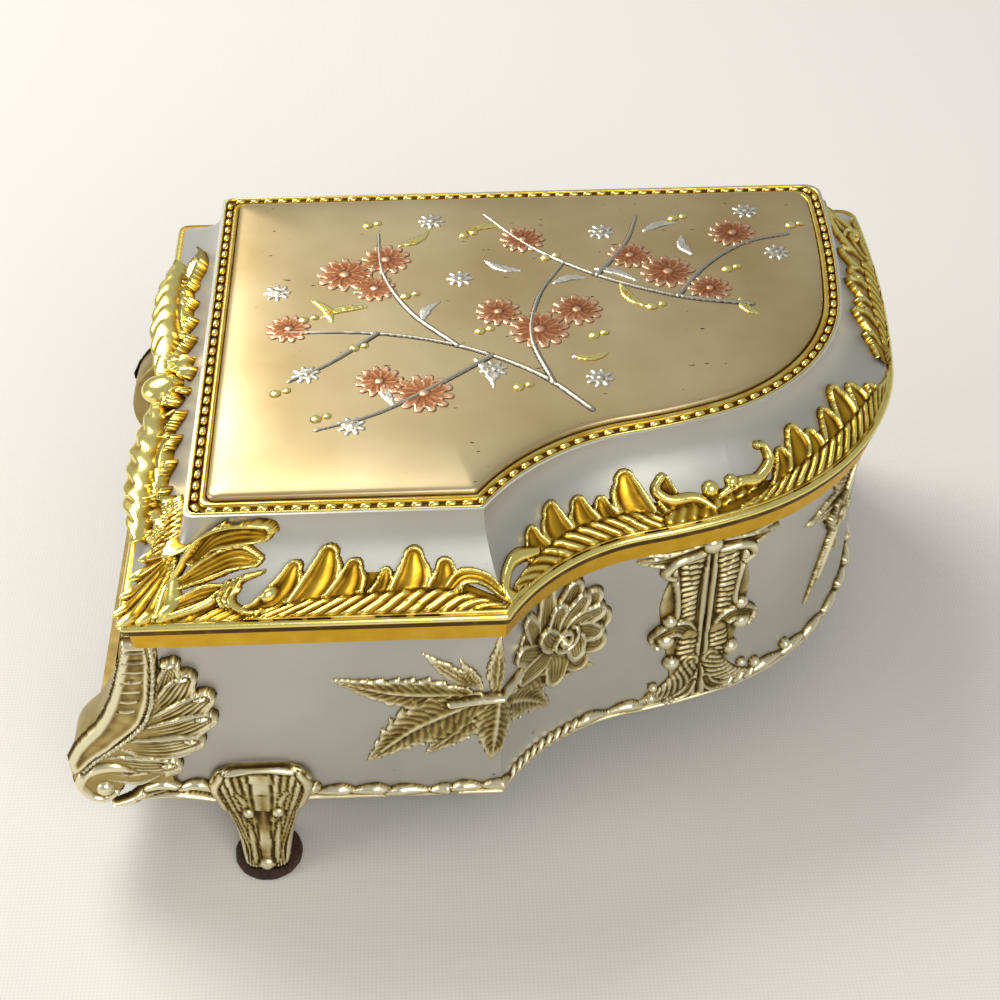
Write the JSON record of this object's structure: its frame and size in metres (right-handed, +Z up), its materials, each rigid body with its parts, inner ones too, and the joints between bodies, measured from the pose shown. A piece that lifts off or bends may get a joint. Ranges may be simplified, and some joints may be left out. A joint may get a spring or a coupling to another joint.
{
  "type": "musical jewelry box",
  "caption": "Grand-piano-shaped metal jewelry box on three feet, with a hinged lid, a lined well and a key-wound comb-and-cylinder musical movement that starts as the lid opens.",
  "frame": {"origin": "centre of the whole box in plan, on the table under the felt pads", "axes": "+X from the keyboard end to the tail, +Y to the hinged spine at the back, +Z up"},
  "size_m": [0.1524, 0.124, 0.075],
  "materials": {
    "antique_gilt": "pale antique gilt, brown in the hollows",
    "board": "dark fibre board",
    "brass": "turned and milled brass",
    "bright_gilt": "bright gilt on cast relief, darker in the hollows",
    "cast_bed": "die cast and trimmed",
    "champagne_plaque": "satin champagne plate with an inlaid spray",
    "clear_plastic": "clear moulded plastic",
    "felt": "brown felt",
    "silver_lacquer": "satin silvered and lacquered zinc casting",
    "steel": "ground steel",
    "velvet": "crimson flocked velvet"
  },
  "bodies": {
    "case": {"apron_bentside": "antique_gilt", "apron_front": "antique_gilt", "apron_spine": "antique_gilt", "apron_tail": "antique_gilt", "barrel_bridge": "steel", "base_plate": "steel", "base_screws": "steel", "bedplate": "cast_bed", "case_shell": "silver_lacquer", "cheek_back": "antique_gilt", "cheek_front": "antique_gilt", "comb": "steel", "comb_screws": "steel", "felt_pads": "felt", "foot_back": "antique_gilt", "foot_front": "antique_gilt", "foot_tail": "antique_gilt", "gilt_ledge": "bright_gilt", "governor_frame": "steel", "hinge_leaf_case": "brass", "hinge_pin": "steel", "hinge_rivets_case": "brass", "keyboard": "antique_gilt", "keyslip": "antique_gilt", "mainspring": "steel", "movement_cover": "clear_plastic", "movement_screws": "steel", "partition": "board", "pillar_ornament": "antique_gilt", "rose_spray": "antique_gilt", "spine_spray": "antique_gilt", "spring_barrel": "cast_bed", "stop_guide": "brass", "tail_spray": "antique_gilt", "well_floor": "velvet", "well_lining": "velvet"},
    "lid": {"lid_bead_frame": "bright_gilt", "lid_border_bentside": "bright_gilt", "lid_border_front": "bright_gilt", "lid_border_keyboard": "bright_gilt", "lid_border_spine": "bright_gilt", "lid_border_tail": "bright_gilt", "lid_corner_leaf": "bright_gilt", "lid_lining": "velvet", "lid_plaque": "champagne_plaque", "lid_rim_band": "bright_gilt", "lid_shell": "silver_lacquer", "hinge_leaf_lid": "brass", "hinge_rivets_lid": "brass"},
    "cylinder": {"pinned_cylinder": "brass", "cylinder_arbor": "brass", "cylinder_wheel": "brass"},
    "winding": {"crown_wheel": "brass", "winding_arbor": "steel", "winding_key": "steel"},
    "governor": {"governor_wheel": "brass"},
    "fan": {"fan_spindle": "steel"},
    "stop": {"stop_rod": "steel"}
  },
  "joints": [
    {"name": "lid_hinge", "type": "hinge", "parent": "case", "child": "lid", "pos_m": [0.00642, 0.0592, 0.05775], "axis": [-1, 0, 0], "range_deg": [0, 95]},
    {"name": "cylinder_turn", "type": "hinge", "parent": "case", "child": "cylinder", "pos_m": [0.02817, 0.022, 0.0306], "axis": [1, 0, 0], "continuous": true},
    {"name": "winding_turn", "type": "hinge", "parent": "case", "child": "winding", "pos_m": [0.04942, 0.022, 0.0264], "axis": [0, 0, 1], "continuous": true},
    {"name": "governor_turn", "type": "hinge", "parent": "case", "child": "governor", "pos_m": [0.01832, 0.013, 0.0306], "axis": [1, 0, 0], "continuous": true},
    {"name": "fan_turn", "type": "hinge", "parent": "case", "child": "fan", "pos_m": [0.01782, 0.00688, 0.03562], "axis": [0, 0, 1], "continuous": true},
    {"name": "stop_slide", "type": "slide", "parent": "case", "child": "stop", "axis": [0, 0, 1], "range_m": [0, 0.003]}
  ],
  "couplings": [
    {"joint": "winding_turn", "follows": "cylinder_turn", "ratio": -0.25},
    {"joint": "governor_turn", "follows": "cylinder_turn", "ratio": -4},
    {"joint": "fan_turn", "follows": "cylinder_turn", "ratio": 40},
    {"joint": "stop_slide", "follows": "lid_hinge", "m_per_rad": 0.0015}
  ]
}
